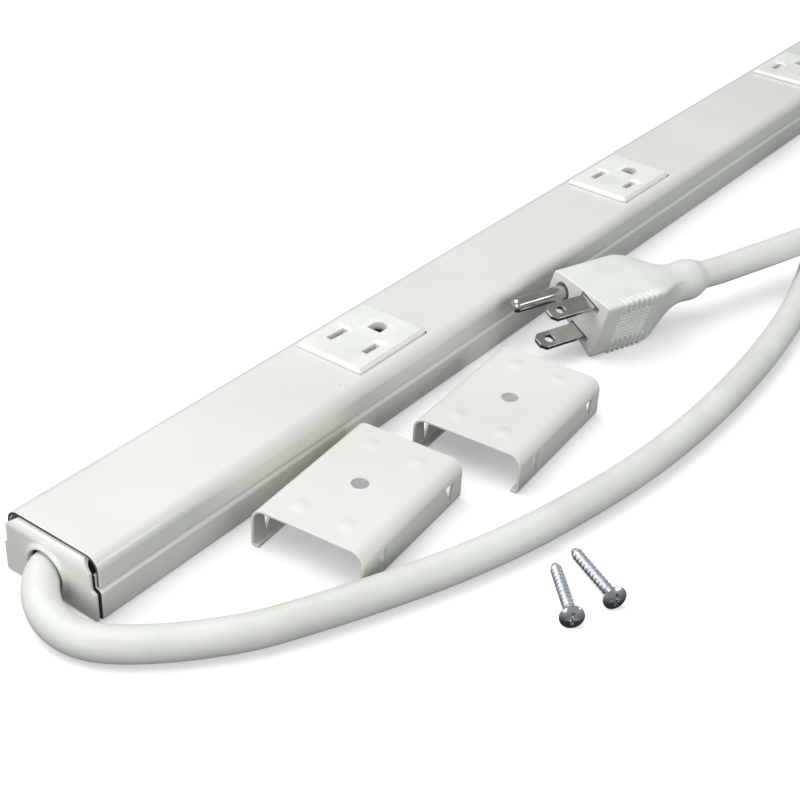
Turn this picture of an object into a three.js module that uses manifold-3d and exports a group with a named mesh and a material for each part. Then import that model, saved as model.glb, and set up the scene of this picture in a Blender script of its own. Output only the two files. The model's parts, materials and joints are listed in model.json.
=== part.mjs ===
// Multi-outlet power strip: a two-piece painted steel raceway with six grounded outlets, its cord and plug,
// and the two clips and two screws that mount it.
// Millimetres, +Z up. The origin is under the middle of the strip, and +X runs along it, away from the cord.

import * as THREE from "three";
import { mergeVertices } from "three/addons/utils/BufferGeometryUtils.js";
import Module from "manifold-3d";

const wasm = await Module();
wasm.setup();

// ---------------------------------------------------------------- driving dimensions

const stripLength = 914.4;
const stripHeight = 18.6;
const coverWidth = 32.5;
const baseWidth = 33.7;
const sheetThickness = 1.0;
const gap = 0.3;

const outletCount = 6;
const outletPitch = 152.4;
const firstOutlet = 118.4; // from the cord end of the cover to the blade slots
const bladeSpacing = 12.7;
const groundOffset = 11.9; // from the blade slots' line to the ground pin

const cordDiameter = 9.4;
const wireDiameter = 3.3;

const clipLength = 50;
const clipWidth = 34.8;
const clipHeight = 12.5;

const screwLength = 23.6;

// ---------------------------------------------------------------- derived dimensions

const nearEnd = -stripLength / 2;
const farEnd = stripLength / 2;
const ceiling = stripHeight - sheetThickness; // underside of the cover's top
const seamHeight = 9.8; // lower edge of the cover's sides
const tongueHalf = coverWidth / 2 - sheetThickness - gap; // outer face of the base's tongues
const cordRadius = cordDiameter / 2;
const wireRadius = wireDiameter / 2;
const wireHeight = sheetThickness + gap + wireRadius + 0.35;
const outletPlaces = Array.from({ length: outletCount }, (_, i) => nearEnd + firstOutlet + i * outletPitch);

// A place given from the cord end of the cover, as the lengths along, across and up.
const fromCordEnd = ([along, across, up]) => new THREE.Vector3(nearEnd + along, across, up);

// ---------------------------------------------------------------- materials

const material = (color, roughness, metalness) =>
  new THREE.MeshStandardMaterial({ color, roughness, metalness });
const paint = () => material("#e9ebe3", 0.4, 0.0);
const whitePlastic = () => material("#eef0ea", 0.45, 0.0);
const innerPlastic = () => material("#d9d6cc", 0.6, 0.0);
const brass = () => material("#b5913f", 0.35, 1.0);
const zinc = () => material("#b9bcc2", 0.3, 1.0);
const nickel = () => material("#c9c8c2", 0.25, 1.0);
const cordSheath = () => material("#e4e7e1", 0.55, 0.0);
const insulation = { hot: "#1c1c1e", neutral: "#e8e8e6", ground: "#1f7a3a" };

// ---------------------------------------------------------------- solids: join, cut and convert

function solid(geometry) {
  const bare = new THREE.BufferGeometry();
  bare.setAttribute("position", geometry.attributes.position);
  bare.setIndex(geometry.index);
  const merged = mergeVertices(bare, 1e-4);
  const vertProperties = new Float32Array(merged.attributes.position.array);
  const triVerts = new Uint32Array(merged.index.array);
  const result = new wasm.Manifold(new wasm.Mesh({ numProp: 3, vertProperties, triVerts }));
  if (result.volume() > 0) return result;
  return new wasm.Manifold(new wasm.Mesh({ numProp: 3, vertProperties, triVerts: triVerts.reverse() }));
}

function geometryOf(manifold) {
  const mesh = manifold.getMesh();
  const geometry = new THREE.BufferGeometry();
  geometry.setAttribute("position", new THREE.BufferAttribute(mesh.vertProperties, 3));
  geometry.setIndex(new THREE.BufferAttribute(mesh.triVerts, 1));
  geometry.computeVertexNormals();
  return geometry;
}

const join = (first, ...others) => others.reduce((sum, other) => sum.add(other), first);
const cut = (first, ...others) => others.reduce((rest, other) => rest.subtract(other), first);

// ---------------------------------------------------------------- basic shapes

function box([x0, x1], [y0, y1], [z0, z1]) {
  const geometry = new THREE.BoxGeometry(x1 - x0, y1 - y0, z1 - z0);
  return solid(geometry.translate((x0 + x1) / 2, (y0 + y1) / 2, (z0 + z1) / 2));
}

// A cylinder that stands on z0, along +Z.
function upright(radius, x, y, [z0, z1], sides = 16) {
  const geometry = new THREE.CylinderGeometry(radius, radius, z1 - z0, sides).rotateX(Math.PI / 2);
  return solid(geometry.translate(x, y, (z0 + z1) / 2));
}

// A cylinder along +X.
function lengthways(radius, [x0, x1], y, z, sides = 12) {
  const geometry = new THREE.CylinderGeometry(radius, radius, x1 - x0, sides).rotateZ(Math.PI / 2);
  return solid(geometry.translate((x0 + x1) / 2, y, z));
}

function extrude(outline, depth, options = {}) {
  const shape = new THREE.Shape(outline.map(([u, v]) => new THREE.Vector2(u, v)));
  return new THREE.ExtrudeGeometry(shape, { depth, bevelEnabled: false, ...options });
}

// Extrudes an outline of (y, z) points along X.
function alongX(outline, [x0, x1]) {
  const axes = new THREE.Matrix4().makeBasis(
    new THREE.Vector3(0, 1, 0),
    new THREE.Vector3(0, 0, 1),
    new THREE.Vector3(1, 0, 0),
  );
  return solid(extrude(outline, x1 - x0).applyMatrix4(axes).translate(x0, 0, 0));
}

// Extrudes an outline of (x, z) points along Y.
function alongY(outline, [y0, y1]) {
  const axes = new THREE.Matrix4().makeBasis(
    new THREE.Vector3(1, 0, 0),
    new THREE.Vector3(0, 0, 1),
    new THREE.Vector3(0, -1, 0),
  );
  return solid(extrude(outline, y1 - y0).applyMatrix4(axes).translate(0, y1, 0));
}

// Revolves a profile of (radius, height) points, which starts and ends on the axis, about Z.
function turned(profile, segments = 18) {
  const points = profile.map(([radius, height]) => new THREE.Vector2(radius, height));
  return solid(new THREE.LatheGeometry(points, segments).rotateX(Math.PI / 2));
}

// A rectangular plate whose upper edges are bevelled at 45 degrees.
function bevelledPlate([x0, x1], [y0, y1], [z0, z1], bevel) {
  const outline = [
    [x0 + bevel, y0 + bevel],
    [x1 - bevel, y0 + bevel],
    [x1 - bevel, y1 - bevel],
    [x0 + bevel, y1 - bevel],
  ];
  const bevels = { bevelEnabled: true, bevelThickness: bevel, bevelSize: bevel, bevelSegments: 1 };
  const both = solid(extrude(outline, z1 - z0 - bevel, bevels).translate(0, 0, z0));
  return both.intersect(box([x0 - 1, x1 + 1], [y0 - 1, y1 + 1], [z0, z1 + 1]));
}

// ---------------------------------------------------------------- sheet metal

// Rounds the corners of an open path. Each corner has its own bend radius, and 0 keeps it sharp.
function bendPath(corners, radii, segments = 5) {
  const points = [];
  corners.forEach(([u, v], i) => {
    const radius = radii[i] ?? 0;
    const corner = new THREE.Vector2(u, v);
    if (!radius) {
      points.push(corner);
      return;
    }
    const back = new THREE.Vector2(...corners[i - 1]).sub(corner).normalize();
    const on = new THREE.Vector2(...corners[i + 1]).sub(corner).normalize();
    const half = Math.acos(back.dot(on)) / 2;
    const centre = back.clone().add(on).setLength(radius / Math.sin(half)).add(corner);
    const start = back.clone().multiplyScalar(radius / Math.tan(half)).add(corner).sub(centre);
    const end = on.clone().multiplyScalar(radius / Math.tan(half)).add(corner).sub(centre);
    const sweep = Math.atan2(start.cross(end), start.dot(end));
    for (let step = 0; step <= segments; step += 1) {
      points.push(start.clone().rotateAround(new THREE.Vector2(), (sweep * step) / segments).add(centre));
    }
  });
  return points;
}

// The outline of a bent sheet: its outer face is the path, and its thickness lies to the right of the path.
function sheetOutline(path, thickness = sheetThickness) {
  const normals = path.slice(1).map((point, i) => {
    const run = point.clone().sub(path[i]).normalize();
    return new THREE.Vector2(run.y, -run.x);
  });
  const inner = path.map((point, i) => {
    const before = normals[Math.max(i - 1, 0)];
    const after = normals[Math.min(i, normals.length - 1)];
    const middle = before.clone().add(after).normalize();
    return middle.multiplyScalar(thickness / middle.dot(before)).add(point);
  });
  return [...path, ...inner.reverse()].map((point) => [point.x, point.y]);
}

// ---------------------------------------------------------------- the raceway

const coverBend = 4.0;
const outletOpening = { x: [-11.2, 18.6], half: 10.9 };

function cover() {
  const half = coverWidth / 2;
  const path = bendPath(
    [
      [-half, seamHeight],
      [-half, stripHeight],
      [half, stripHeight],
      [half, seamHeight],
    ],
    [0, coverBend, coverBend, 0],
  );
  const shell = alongX(sheetOutline(path), [nearEnd, farEnd]);
  const openings = outletPlaces.map((place) =>
    box(
      outletOpening.x.map((x) => x + place),
      [-outletOpening.half, outletOpening.half],
      [ceiling - 1, stripHeight + 1],
    ),
  );
  return cut(shell, ...openings);
}

const clampScrews = { along: 38, across: 9.6, hole: 1.8 };
const groundScrewPlace = { along: 92, across: 11, hole: 1.8 };

const baseBends = { foot: 1.2, shoulder: 1.45, tongue: 0.4 };
const tongueTop = 13.2;

function baseChannel() {
  const half = baseWidth / 2;
  const shoulder = seamHeight - gap;
  const { foot, shoulder: shoulderBend, tongue } = baseBends;
  const path = bendPath(
    [
      [-tongueHalf, tongueTop],
      [-tongueHalf, shoulder],
      [-half, shoulder],
      [-half, 0],
      [half, 0],
      [half, shoulder],
      [tongueHalf, shoulder],
      [tongueHalf, tongueTop],
    ],
    [0, tongue, shoulderBend, foot, foot, shoulderBend, tongue, 0],
    4,
  );
  const shell = alongX(sheetOutline(path.reverse()), [nearEnd, farEnd]);
  const through = [-1, sheetThickness + 1];
  const holes = [-1, 1].map((side) =>
    upright(clampScrews.hole, nearEnd + clampScrews.along, side * clampScrews.across, through),
  );
  const groundHole = upright(
    groundScrewPlace.hole,
    nearEnd + groundScrewPlace.along,
    groundScrewPlace.across,
    through,
  );
  return cut(shell, ...holes, groundHole);
}

// An end plate is one folded sheet. Its face closes the end of the channel, its upper edge is bent back
// under the cover between two chamfered corners, and a tab at its foot lies on the base's floor. The cord's
// hole has a lip drawn outwards. The plate is made at the cord end, with its face towards -X.
const plateFace = -1.6; // how far the face stands out from the end of the cover
const plateReach = 9; // how far the upper edge reaches back under the cover
const plateTab = { reach: 12, half: 11, rise: 4 };
const plateChamfer = { across: 12, drop: 2.1 };
const cordHole = { across: 0.9, up: 7.3, radius: 6.2, lip: 0.9, lipWall: 0.7 };

function endPlate(holed) {
  const back = plateFace + sheetThickness;
  const top = ceiling - gap;
  const wide = coverWidth / 2;
  const narrow = wide - 0.9;
  const stepHeight = 9;
  const halfOutline = [
    [wide, gap],
    [wide, stepHeight - 0.4],
    [narrow, stepHeight + 0.4],
    [narrow, top - plateChamfer.drop],
    [plateChamfer.across, top],
  ];
  const mirrored = halfOutline.map(([across, up]) => [-across, up]).reverse();
  const outline = alongX([...halfOutline, ...mirrored], [plateFace, plateReach]);
  const facePath = [
    [plateFace, 0],
    [plateFace, top],
    [plateReach, top],
  ];
  const folded = alongY(sheetOutline(bendPath(facePath, [0, 3, 0])), [-wide, wide]);
  const tabPath = [
    [plateTab.reach, sheetThickness + gap],
    [plateFace, sheetThickness + gap],
    [plateFace, plateTab.rise],
  ];
  const tab = alongY(sheetOutline(bendPath(tabPath, [0, 1.6, 0])), [-plateTab.half, plateTab.half]);
  const plate = join(folded.intersect(outline), tab);
  if (!holed) return plate;
  const { across, up, radius, lip, lipWall } = cordHole;
  const ring = lengthways(radius + lipWall, [plateFace - lip, plateFace + 0.1], across, up, 32);
  return cut(join(plate, ring), lengthways(radius, [plateFace - lip - 1, back + 0.1], across, up, 32));
}

// ---------------------------------------------------------------- the outlets

// Each outlet is made at the origin, with X measured from its blade slots.
const outletFrame = {
  x: [-12.4, 19.8],
  half: 12.1,
  bottom: stripHeight + 0.15,
  top: stripHeight + 1.6,
  bevel: 1.2,
};
const housing = { x: [-10.9, 18.3], half: 10.6, bottom: 8.3, wall: 1.2 };
// A T-shaped recess, whose floor slopes down from the near edge and is level around the ground hole.
const recess = { start: -9, level: 4.2, depth: 0.8, wingHalf: 9.2, legEnd: 15.4, legHalf: 4.7, run: 0.9 };
const faceThickness = 2.4;
const snap = { x: [-3, 10], reach: 0.9, height: 1.9 };
const slotWidth = 2.2;
const slots = [
  { side: 1, half: 4.1 }, // neutral, the longer slot
  { side: -1, half: 3.4 }, // hot
];

// The ground hole: straight towards the blade slots, round on the far side.
function groundHole([z0, z1]) {
  const half = 2.5;
  const square = box([groundOffset - half, groundOffset + 0.4], [-half, half], [z0, z1]);
  return join(square, upright(half, groundOffset + 0.4, 0, [z0, z1], 20));
}

function outletFace() {
  const { x, half, bottom, top, bevel } = outletFrame;
  const frame = bevelledPlate(x, [-half, half], [bottom, top], bevel);
  const neck = box(housing.x, [-housing.half, housing.half], [housing.bottom, bottom + 0.3]);
  const snaps = [-1, 1].map((side) => {
    const across = [side * (housing.half - 0.2), side * (housing.half + snap.reach)].sort((a, b) => a - b);
    return box(snap.x, across, [ceiling - gap - snap.height, ceiling - gap]);
  });
  const slab = top - recess.depth - faceThickness; // underside of the face, over the contact chamber
  const chamber = box(
    [housing.x[0] + housing.wall, housing.x[1] - housing.wall],
    [-housing.half + housing.wall, housing.half - housing.wall],
    [housing.bottom - 1, slab],
  );
  const { start, level, depth, wingHalf, legEnd, legHalf, run } = recess;
  const hollow = (end, across) =>
    alongY(
      [
        [start, top],
        [level, top - depth],
        [end, top - depth],
        [end + run, top],
        [end + run, top + 1],
        [start, top + 1],
      ],
      [-across, across],
    );
  const hollows = join(hollow(level + 0.1, wingHalf), hollow(legEnd, legHalf));
  const through = [slab - 1, top + 1];
  const bladeSlots = slots.map(({ side, half: reach }) => {
    const across = (side * bladeSpacing) / 2;
    return box([-reach, reach], [across - slotWidth / 2, across + slotWidth / 2], through);
  });
  return cut(join(frame, neck, ...snaps), chamber, hollows, ...bladeSlots, groundHole(through));
}

const contactThickness = 0.6;
const contactBottom = housing.bottom + 0.1;
const contacts = {
  hot: { x: 0, y: -bladeSpacing / 2, opening: 2.0, length: 6.4, tail: [-1.5, 1.5] },
  neutral: { x: 0, y: bladeSpacing / 2, opening: 2.0, length: 6.4, tail: [-1.5, 1.5] },
  ground: { x: groundOffset + 0.3, y: 0, opening: 5.0, length: 4.6, tail: [-1.5, 1.5] },
};

function outletBack() {
  const plate = box(housing.x, [-housing.half, housing.half], [housing.bottom - 1.6, housing.bottom - gap]);
  const tailSlots = Object.values(contacts).map(({ x, y, tail }) =>
    box([x + tail[0] - gap, x + tail[1] + gap], [y - 0.6, y + 0.6], [housing.bottom - 3, housing.bottom + 1]),
  );
  return cut(plate, ...tailSlots);
}

// A contact is a spring strip folded into a U, pinched at its mouth, with a tail down to its wire.
function contact({ x, y, opening, length, tail }) {
  const half = opening / 2 + contactThickness;
  const mouth = 16.6;
  const pinch = 0.35;
  const leaves = [
    [-half, mouth],
    [-half + pinch, mouth - 1.6],
    [-half, mouth - 4],
    [-half, contactBottom],
    [half, contactBottom],
    [half, mouth - 4],
    [half - pinch, mouth - 1.6],
    [half, mouth],
  ];
  const path = bendPath(
    leaves.map(([across, up]) => [across + y, up]),
    [0, 0, 0, 0.9, 0.9, 0, 0, 0],
    3,
  );
  const fold = alongX(sheetOutline(path.reverse(), contactThickness), [x - length / 2, x + length / 2]);
  const tailBottom = wireHeight + wireRadius + gap;
  const strip = box([x + tail[0], x + tail[1]], [y - 0.3, y + 0.3], [tailBottom, contactBottom + 0.4]);
  return join(fold, strip);
}

// ---------------------------------------------------------------- wiring inside the raceway

const wireAcross = { hot: contacts.hot.y, ground: 0, neutral: contacts.neutral.y };
const spliceStart = 60;
const spliceEnd = 73.7;
const jacketEnd = 46;

// A round tube along a smooth curve through the points.
function tube(points, radius, steps, sides = 10) {
  const outline = Array.from({ length: sides }, (_, i) => {
    const angle = (2 * Math.PI * i) / sides;
    return [radius * Math.cos(angle), radius * Math.sin(angle)];
  });
  const extrudePath = new THREE.CatmullRomCurve3(points, false, "centripetal");
  return solid(extrude(outline, 0, { steps, extrudePath }));
}

const stripWireEnds = [nearEnd + spliceEnd + gap, outletPlaces.at(-1) + groundOffset + 5];
const stripWire = (across) => lengthways(wireRadius, stripWireEnds, across, wireHeight);

const spliceLift = 0.8;
const spliceEnds = [nearEnd + spliceStart + gap, nearEnd + spliceEnd];
const splice = (across) => lengthways(wireRadius + 1.1, spliceEnds, across, wireHeight + spliceLift, 14);

// The three conductors leave the jacket side by side and spread to their splices.
function cordConductor(across) {
  const packed = Math.sign(across) * 2.75;
  const packedHeight = across === 0 ? 7.4 : 4.8;
  const points = [
    [jacketEnd + gap, packed, packedHeight],
    [jacketEnd + 4, packed, packedHeight],
    [jacketEnd + 9, (packed + across) / 2, (packedHeight + wireHeight + spliceLift) / 2],
    [spliceStart - 1.5, across, wireHeight + spliceLift],
    [spliceStart, across, wireHeight + spliceLift],
  ];
  return tube(points.map(fromCordEnd), 1.3, 12, 8);
}

// A short green wire from the ground splice to its ring, which the ground screw holds on the base.
function bondingWire() {
  const { along, across, hole } = groundScrewPlace;
  const ringHeight = [sheetThickness + gap, sheetThickness + gap + 0.8];
  const ring = upright(2.9, nearEnd + along, across, ringHeight, 20);
  const place = nearEnd + along;
  const neck = box([place - 4, place - 2.2], [across - 1.2, across + 1.2], ringHeight);
  const barrelHeight = [ringHeight[0], ringHeight[0] + 2.6];
  const barrel = box([place - 9, place - 3.2], [across - 1.5, across + 1.5], barrelHeight);
  const route = [
    [spliceEnd + gap, 0, 6.3],
    [75.6, 0.1, 6.4],
    [78.2, 3.6, 7.0],
    [80.2, 8.2, 6.9],
    [82.2, across, 4.2],
    [85, across, 2.6],
  ];
  const wire = tube(route.map(fromCordEnd), 1.0, 16, 8);
  return cut(join(ring, neck, barrel, wire), upright(hole, nearEnd + along, across, [0, 6]));
}

// A pan-head machine screw that stands in the base, made at the origin.
function panScrew(shankRadius, headRadius, seat, bottom) {
  return turned([
    [0, bottom],
    [shankRadius - 0.3, bottom],
    [shankRadius, bottom + 0.3],
    [shankRadius, seat],
    [headRadius, seat],
    [headRadius, seat + 0.9],
    [headRadius * 0.7, seat + 1.7],
    [0, seat + 1.9],
  ]);
}

// The jacketed end of the cord lies between the end plate's hole and the clamp.
const jacketRoute = [
  [1.6, 1.5, 7.7],
  [3, 1.55, 7.6],
  [6, 1.7, 7.4],
  [12, 1.5, 7.0],
  [20, 0.7, 6.5],
  [28, 0.1, 6.2],
  [jacketEnd, 0, 6.2],
];

function cordClamp() {
  const arch = cordRadius + gap + sheetThickness;
  const foot = 2 * sheetThickness + gap;
  const top = 6.2 + arch;
  const reach = clampScrews.across + 3.2;
  const path = bendPath(
    [
      [-reach, foot],
      [-arch, foot],
      [-arch, top],
      [arch, top],
      [arch, foot],
      [reach, foot],
    ],
    [0, 0.4, arch - 0.01, arch - 0.01, 0.4, 0],
    7,
  );
  const { along, across, hole } = clampScrews;
  const strap = alongX(sheetOutline(path), [nearEnd + along - 4, nearEnd + along + 4]);
  const holes = [-1, 1].map((side) => upright(hole, nearEnd + along, side * across, [0, foot + 1]));
  return cut(strap, ...holes);
}

// ---------------------------------------------------------------- the cord

// The route on the floor from the strip's end to the coil. It leaves the hole aslant, then turns along the
// strip.
const runRoute = [
  [1.2, 1.5, 7.7],
  [0, 1.45, 7.75],
  [-1.8, 1.0, 7.9],
  [-4.9, -0.9, 7.8],
  [-8.3, -4.3, 7.3],
  [-10.9, -8.6, 6.3],
  [-12.2, -13.9, 5.4],
  [-11.9, -19.3, 4.9],
  [-10.1, -24.6, 4.8],
  [-6.6, -30.0, 4.8],
  [-0.6, -36.6, 4.8],
  [6.6, -43.0, 4.8],
  [17, -50.6, 4.8],
  [30, -57.3, 4.8],
  [48, -65.4, 4.8],
  [68, -73.3, 4.8],
  [89, -79.7, 4.8],
  [112, -84.7, 4.8],
  [138, -88.6, 4.8],
  [168, -90.3, 4.8],
  [198, -89.6, 4.8],
  [226, -87.2, 4.8],
  [252, -83.2, 4.8],
  [276, -77.6, 4.8],
  [298, -71.2, 4.8],
  [322, -65.2, 4.8],
  [350, -61.2, 4.8],
  [383, -60.0, 4.8],
];

// The coil of spare cord: two turns side by side, and two more on top of them.
const coil = { along: 383, across: -118, outer: 58, inner: 48.3, lower: 4.8, upper: 14.5 };

// The route from the top of the coil to the plug. It passes over the first stretch.
const leadRoute = [
  [325.2, -113.6, 14.5],
  [324.6, -104.5, 14.5],
  [321.6, -95, 14.5],
  [316.4, -86.6, 14.5],
  [309, -79.8, 14.5],
  [299.6, -75.2, 14.5],
  [289, -71.5, 14.4],
  [279, -68.3, 14.1],
  [268, -64.7, 13.8],
  [255, -60.4, 13.6],
  [245, -57.0, 13.4],
];

function coilRing(extra = 0) {
  const inner = coil.inner - cordRadius - extra;
  const outer = coil.outer + cordRadius + extra;
  const low = coil.lower - cordRadius - extra;
  const high = coil.upper + cordRadius + extra;
  const corner = 3;
  const profile = [
    [inner, low + corner],
    [inner + corner, low],
    [outer - corner, low],
    [outer, low + corner],
    [outer, high - corner],
    [outer - corner, high],
    [inner + corner, high],
    [inner, high - corner],
    [inner, low + corner],
  ];
  const centre = fromCordEnd([coil.along, coil.across, 0]);
  return turned(profile, 44).translate([centre.x, centre.y, 0]);
}

const cordRun = () => cut(tube(runRoute.map(fromCordEnd), cordRadius, 62), coilRing(gap));
const cordLead = (plugRear) =>
  cut(tube([...leadRoute.map(fromCordEnd), plugRear], cordRadius, 16), coilRing(gap));

// ---------------------------------------------------------------- the plug

// The plug has its own axes: X out of its face along the prongs, Y from the ground pin to the blades, and Z
// across.
const plugPlace = { face: [187.7, -38.5, 13.0], yaw: 160.2, tilt: -16 };
const plugAxis = -2.2; // the cord's line, in the plug's Y
const plugRearFace = -50.4;
const pocketDepth = 3.2;
const bladePocket = { y: [-4.3, 4.8], half: 1.1 };
const groundPin = { y: -11.9, radius: 2.4, length: 20.6 };
const blade = { half: 3.2, thickness: 1.5, length: 16.4, hole: 1.6, holePlace: 11.9 };

const plugGroup = new THREE.Group();
plugGroup.position.copy(fromCordEnd(plugPlace.face));
plugGroup.rotation.z = THREE.MathUtils.degToRad(plugPlace.yaw);
const plugTilt = new THREE.Group();
plugTilt.rotation.x = THREE.MathUtils.degToRad(plugPlace.tilt);
plugGroup.add(plugTilt);
plugGroup.updateMatrixWorld(true);

// The plug's cross-section, as the distance from its axis in each direction: a wedge with round corners,
// wide at the blades and narrow at the ground pin, which turns into a circle towards the cord.
function plugRadius(angle, blades, ground, sides, roundness, circle) {
  const slant = THREE.MathUtils.degToRad(103.9);
  const faces = [
    [0, blades],
    [Math.PI, ground],
    [slant, sides],
    [-slant, sides],
  ];
  const power = 12;
  const sum = faces.reduce((total, [normal, distance]) => {
    const toward = Math.max(Math.cos(angle - normal), 0);
    return total + (toward / distance) ** power;
  }, 0);
  return THREE.MathUtils.lerp(sum ** (-1 / power), circle, roundness);
}

// Each station: place along X, then the distances to the blade side, ground side and slanted sides,
// how round the section is, and the radius of that circle.
const plugStations = [
  [0, 10.5, 15.8, 7.95, 0, 8],
  [-0.6, 10.9, 16.2, 8.3, 0, 8],
  [-24, 10.9, 16.2, 8.3, 0, 8],
  [-29, 9.2, 16.0, 7.9, 0.2, 8],
  [-33, 7.8, 14.6, 7.4, 0.45, 7.4],
  [-36.5, 7, 11, 6.8, 0.8, 6.8],
  [-40, 6.6, 8, 6.6, 1, 6.6],
  [-45.5, 7, 8, 7, 1, 7.1],
  [-48.6, 6.5, 7, 6.5, 1, 6.4],
  [plugRearFace, 5, 5, 5, 1, 5],
];

function plugBody() {
  const sides = 24;
  const rings = plugStations.map(([x, ...shape]) =>
    Array.from({ length: sides }, (_, i) => {
      const angle = (2 * Math.PI * i) / sides;
      const reach = plugRadius(angle, ...shape);
      return [x, plugAxis + reach * Math.cos(angle), reach * Math.sin(angle)];
    }),
  );
  const ends = [rings[0], rings.at(-1)].map((ring) => [ring[0][0], plugAxis, 0]);
  const positions = [...rings.flat(), ...ends].flat();
  const front = rings.length * sides;
  const index = [];
  for (let i = 0; i < sides; i += 1) {
    const next = (i + 1) % sides;
    for (let ring = 0; ring < rings.length - 1; ring += 1) {
      const [a, b] = [ring * sides + i, ring * sides + next];
      index.push(a, b, a + sides, b, b + sides, a + sides);
    }
    const last = (rings.length - 1) * sides;
    index.push(front, next, i, front + 1, last + i, last + next);
  }
  const geometry = new THREE.BufferGeometry();
  geometry.setAttribute("position", new THREE.Float32BufferAttribute(positions, 3));
  geometry.setIndex(index);
  const pinPocket = lengthways(3.3, [-pocketDepth, 2], groundPin.y - 0.2, 0, 20);
  const bladePockets = [-1, 1].map((side) => {
    const across = (side * bladeSpacing) / 2;
    return box([-pocketDepth, 2], bladePocket.y, [across - bladePocket.half, across + bladePocket.half]);
  });
  return cut(solid(geometry), pinPocket, ...bladePockets);
}

function plugGroundPin() {
  const { y, radius, length } = groundPin;
  const start = -pocketDepth + gap;
  const profile = [
    [0, start],
    [radius, start],
    [radius, length - 2.2],
    [radius * 0.9, length - 1.1],
    [radius * 0.62, length - 0.3],
    [0, length],
  ];
  return turned(profile, 20).rotate([0, 90, 0]).translate([0, y, 0]);
}

function plugBlade(side) {
  const { half, thickness, length, hole, holePlace } = blade;
  const across = (side * bladeSpacing) / 2;
  const start = -pocketDepth + gap;
  const outline = [
    [start, -half],
    [length - 1.6, -half],
    [length, -half + 1.8],
    [length, half - 1.8],
    [length - 1.6, half],
    [start, half],
  ];
  const flat = solid(extrude(outline, thickness).translate(0, 0, across - thickness / 2));
  return cut(flat, upright(hole, holePlace, 0, [across - 2, across + 2]));
}

// ---------------------------------------------------------------- mounting clips and their screws

// A clip is a channel of sheet metal that lies with its open side down. It is made about its own middle.
const clipSheet = 0.8;
const clipBend = 3.9;
const clipLip = 2.5;
const clipHole = 2.5;
const dimple = { along: 17, across: 7.3, radius: 3.4, rise: 0.4 };
// A window, from the middle of its flange: two upper corners and a lower one, as lengths along and up.
const clipWindow = {
  corners: [
    [0, 8.3],
    [4.4, 8.3],
    [3.6, 1.9],
  ],
  places: [-18, 15.8],
};

// A raised dome, whose rim lies 0.2 below the sheet's face.
function dome([x, y, z]) {
  const ring = [0, 0.35, 0.7, 1].map((part) => [
    dimple.radius * part,
    dimple.rise * Math.cos((part * Math.PI) / 2) ** 2,
  ]);
  const profile = [[0, -0.2], [dimple.radius, -0.2], ...ring.reverse()];
  return turned(profile, 12).translate([x, y, z]);
}

function mountingClip() {
  const half = clipWidth / 2;
  const path = bendPath(
    [
      [-half + clipLip, 0],
      [-half, 0],
      [-half, clipHeight],
      [half, clipHeight],
      [half, 0],
      [half - clipLip, 0],
    ],
    [0, 1.2, clipBend, clipBend, 1.2, 0],
  );
  const channel = alongX(sheetOutline(path, clipSheet), [-clipLength / 2, clipLength / 2]);
  const windows = [-1, 1].flatMap((side) =>
    clipWindow.places.map((place) => {
      const outline = clipWindow.corners.map(([along, up]) => [-side * (along + place), up]);
      const flange = side > 0 ? [half - 2, half + 1] : [-half - 1, -half + 2];
      return alongY(outline, flange);
    }),
  );
  const domes = [-1, 1].flatMap((end) =>
    [-1, 1].map((side) => dome([end * dimple.along, side * dimple.across, clipHeight])),
  );
  const hole = upright(clipHole, 0, 0, [clipHeight - 2, clipHeight + 1], 24);
  return cut(join(channel, ...domes), hole, ...windows);
}

const clipPlaces = {
  clip_near: { middle: [71.8, -39.4, 0], turn: 5.3 },
  clip_far: { middle: [133.3, -46.4, 0], turn: 4.7 },
};

// A loose screw is made along +X, with its head at the origin.
const screwHead = { radius: 3.3, rim: 1.7, height: 2.1 };
const screwShank = 1.5;
const screwTip = screwLength - 1.2; // where the shank starts to narrow

function mountingScrew() {
  const { radius, rim, height } = screwHead;
  const profile = [
    [0, 0],
    [radius * 0.55, 0.15],
    [radius * 0.85, 0.7],
    [radius, rim - 0.3],
    [radius, rim],
    [screwShank + 0.5, height],
    [screwShank, height + 0.7],
    [screwShank, screwTip],
    [screwShank * 0.6, screwLength],
    [0, screwLength],
  ];
  const body = turned(profile, 16);
  const cross = [
    box([-1.7, 1.7], [-0.35, 0.35], [-1, 0.9]),
    box([-0.35, 0.35], [-1.7, 1.7], [-1, 0.9]),
  ];
  return cut(body, ...cross).rotate([0, 90, 0]);
}

// Each screw lies on the rim of its head and on its tip.
const screwPlaces = {
  screw_near: { head: [71.4, -107.1], turn: 42.6 },
  screw_far: { head: [84.9, -111.9], turn: 58.2 },
};

// ---------------------------------------------------------------- the assembly

const strip = new THREE.Group();
strip.name = "power_strip";

function piece(name, manifold, finish, parent = strip) {
  const mesh = new THREE.Mesh(geometryOf(manifold), finish);
  mesh.name = name;
  parent.add(mesh);
  return mesh;
}

piece("base_channel", baseChannel(), paint());
piece("cover", cover(), paint());

const nearPlate = piece("end_plate_cord", endPlate(true), paint());
nearPlate.position.x = nearEnd;
const farPlate = piece("end_plate_blind", endPlate(false), paint());
farPlate.position.x = farEnd;
farPlate.rotation.z = Math.PI;

outletPlaces.forEach((place, i) => {
  const outlet = new THREE.Group();
  outlet.position.x = place;
  strip.add(outlet);
  piece(`outlet_${i + 1}_face`, outletFace(), whitePlastic(), outlet);
  piece(`outlet_${i + 1}_back`, outletBack(), innerPlastic(), outlet);
  Object.entries(contacts).forEach(([line, shape]) => {
    piece(`outlet_${i + 1}_${line}_contact`, contact(shape), brass(), outlet);
  });
});

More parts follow.
